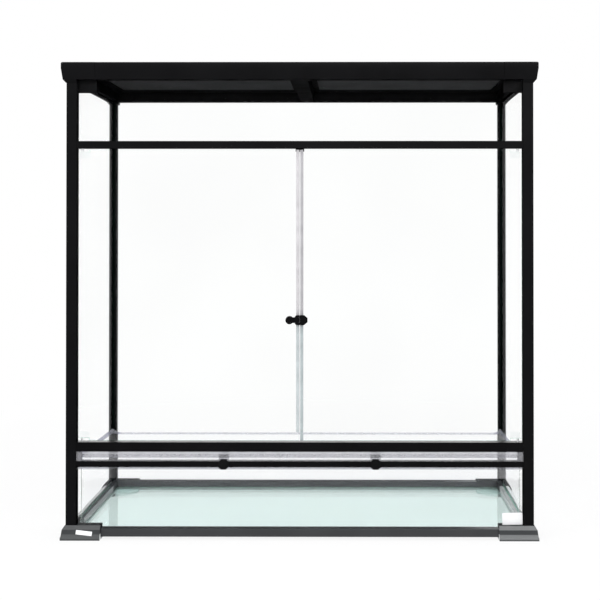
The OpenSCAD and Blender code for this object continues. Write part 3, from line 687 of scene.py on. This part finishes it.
# Heights of the rim, and of the hem's lower edge, at the front, at the drop and at the rear
RIM = (LINER_HIGH.z, 154.2, 135.3)
HEM = (152.4, 145.0, 131.0)
WAVY_FROM = 40.0                         # the sheet is flat below this height


def slopes(heights):
    """Point and upward direction of the two planes that an edge follows from front to rear."""
    front, drop, rear = heights
    return (((0.0, DROP_Y, drop), (0.0, (front - drop) / (DROP_Y - LINER_LOW.y), 1.0)),
            ((0.0, DROP_Y, drop), (0.0, (drop - rear) / (LINER_HIGH.y - DROP_Y), 1.0)))


def in_hem(place):
    """Whether a place on the sheet, in millimetres, is above the hem's lower edge."""
    return any((place - Vector(point)).dot(Vector(up)) > 0.0 for point, up in slopes(HEM))


def folded_sheet(name):
    """Open tray as a single skin, with round corners, a sloping rim and a few soft waves."""
    piece = start_box(name, LINER_LOW, LINER_HIGH)
    work_on(piece)
    pick(piece, "FACE", lambda face: face.normal.z > 0.9)
    bpy.ops.mesh.delete(type="FACE")
    pick(piece, "EDGE", lambda edge: reach(edge)[2] > 50.0)
    bpy.ops.mesh.bevel(offset=CORNER_R * MM, segments=5)
    # Cuts that only part the faces, so that the sheet can wave
    for x in range(-390, 391, 60):
        sawn((x, 0.0, 0.0), (1.0, 0.0, 0.0), away=False)
    for y in range(-150, 151, 60):
        sawn((0.0, y, 0.0), (0.0, 1.0, 0.0), away=False)
    for z in (18.0, 45.0, 80.0, 110.0):
        sawn((0.0, 0.0, z), (0.0, 0.0, 1.0), away=False)
    for edge, away in ((RIM, True), (HEM, False)):
        for plane in slopes(edge):
            sawn(*plane, away=away)
    pick(piece, "VERT", lambda corner: corner.co.z > WAVY_FROM * MM)
    bpy.ops.object.vertex_group_add()
    bpy.ops.object.vertex_group_assign()
    waves = bpy.data.textures.new("waves", "CLOUDS")
    waves.noise_scale = 0.11
    modified(piece, "DISPLACE", texture=waves, texture_coords="LOCAL", strength=2.0 * MM,
             mid_level=0.6, vertex_group=piece.vertex_groups[0].name)
    piece.vertex_groups.clear()
    return piece


liner_sheet = folded_sheet("liner_sheet")
liner_hem = copy_of(liner_sheet, "liner_hem")
for piece, hem, finish, thickness, offset in ((liner_sheet, False, "liner", 0.8, -1.0),
                                              (liner_hem, True, "liner_hem", 1.8, -0.5)):
    work_on(piece)
    pick(piece, "FACE", lambda face: in_hem(face.calc_center_median() / MM) != hem)
    bpy.ops.mesh.delete(type="FACE")
    modified(piece, "SOLIDIFY", thickness=thickness * MM, offset=offset)
    smooth(piece, 30.0)
    seat(piece, "cabinet", "liner", finish)
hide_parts("liner_tray")


# Labels, both blank ------------------------------------------------------

LABEL_T = 0.18


def label(name, middle, size, tilt, lean=0.0):
    """A thin label with round corners, tilted in the front view and leaning with its face.
    Its middle and its width and height are in millimetres."""
    width, height = size
    half = [width / 2, LABEL_T / 2, height / 2]
    low = [m - h for m, h in zip(middle, half)]
    high = [m + h for m, h in zip(middle, half)]
    piece = start_box(name, low, high)
    work_on(piece)
    pick(piece, "EDGE", lambda edge: reach(edge)[1] > 0.1)
    bpy.ops.mesh.bevel(offset=1.0 * MM, segments=3)
    centre = [v * MM for v in middle]
    bpy.ops.mesh.select_all(action="SELECT")
    bpy.ops.transform.rotate(value=math.radians(tilt), orient_axis="Y", center_override=centre)
    bpy.ops.transform.rotate(value=math.radians(lean), orient_axis="X", center_override=centre)
    smooth(piece)
    seat(piece, "cabinet", None, "paper")


PANE_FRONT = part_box("lower_front_glass")[0].y / MM
FOOT_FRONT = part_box("base_corner_front_left")[0].y / MM
label("glass_label", middle=(407.5, PANE_FRONT - 0.12, 39.4), size=(38.8, 23.0), tilt=1.0)
# This one leans back with the face of the foot
label("foot_label", middle=(-411.2, FOOT_FRONT + 2.0, 14.2), size=(31.0, 8.3), tilt=-6.4, lean=7.8)


# Stage -------------------------------------------------------------------

def seen_by_eye(tree):
    """1 for what the camera sees, straight or in glass and gloss."""
    path = tree.nodes.new("ShaderNodeLightPath")
    seen = path.outputs["Is Camera Ray"]
    for ray in ("Is Glossy Ray", "Is Transmission Ray"):
        seen = most(tree, seen, path.outputs[ray])
    return seen


def studio_world():
    """Soft light from all sides, which looks plain white."""
    world = bpy.data.worlds.new("studio")
    world.use_nodes = True
    tree = world.node_tree
    soft = tree.nodes["Background"]
    set_shader(soft, Color=(0.95, 0.97, 1.0, 1.0), Strength=0.45)
    white = tree.nodes.new("ShaderNodeBackground")
    set_shader(white, Color=(1.0, 1.0, 1.0, 1.0))
    mixed_surface(tree, seen_by_eye(tree), soft.outputs["Background"], white.outputs["Background"],
                  output="World Output")
    bpy.context.scene.world = world


def studio_floor():
    """Pale floor that fades to plain white away from the cabinet."""
    nothing_selected()
    bpy.ops.mesh.primitive_grid_add(x_subdivisions=2, y_subdivisions=2, size=30.0,
                                    location=(0.0, 0.0, 0.0))
    floor = bpy.context.object
    floor.name = floor.data.name = "studio_floor"
    finish, tree, shader = new_finish("studio_floor")
    set_shader(shader, Base_Color=(0.93, 0.93, 0.93, 1.0), Roughness=0.8, Specular_IOR_Level=0.0)
    glow = tree.nodes.new("ShaderNodeEmission")
    place = tree.nodes.new("ShaderNodeTexCoord")
    far = tree.nodes.new("ShaderNodeVectorMath")
    far.operation = "LENGTH"
    tree.links.new(place.outputs["Object"], far.inputs[0])
    white = ranged(tree, far.outputs["Value"], 0.86, 1.0, start=0.55, stop=1.7)
    mixed_surface(tree, times(tree, seen_by_eye(tree), white),
                  shader.outputs["BSDF"], glow.outputs["Emission"])
    dress(floor, finish)


def soft_lamp(name, place, aim, width, height, watts):
    """A rectangular lamp that shines from a place towards its aim."""
    data = bpy.data.lights.new(name, "AREA")
    data.shape = "RECTANGLE"
    data.size = width
    data.size_y = height
    data.energy = watts
    lamp = bpy.data.objects.new(name, data)
    lamp.location = place
    lamp.rotation_euler = (Vector(aim) - Vector(place)).to_track_quat("-Z", "Y").to_euler()
    bpy.context.scene.collection.objects.link(lamp)


bpy.context.scene.view_settings.view_transform = "Standard"
studio_world()
studio_floor()
soft_lamp("overhead", place=(0.1, -0.5, 3.2), aim=(0.0, 0.0, 0.4), width=2.4, height=2.4, watts=66.0)
soft_lamp("front_high", place=(0.5, -2.9, 1.75), aim=(0.0, 0.0, 0.1), width=2.6, height=0.7, watts=34.0)
soft_lamp("front_left", place=(-2.4, -2.2, 1.7), aim=(0.0, 0.0, 0.45), width=1.5, height=1.5, watts=20.0)

nothing_selected()
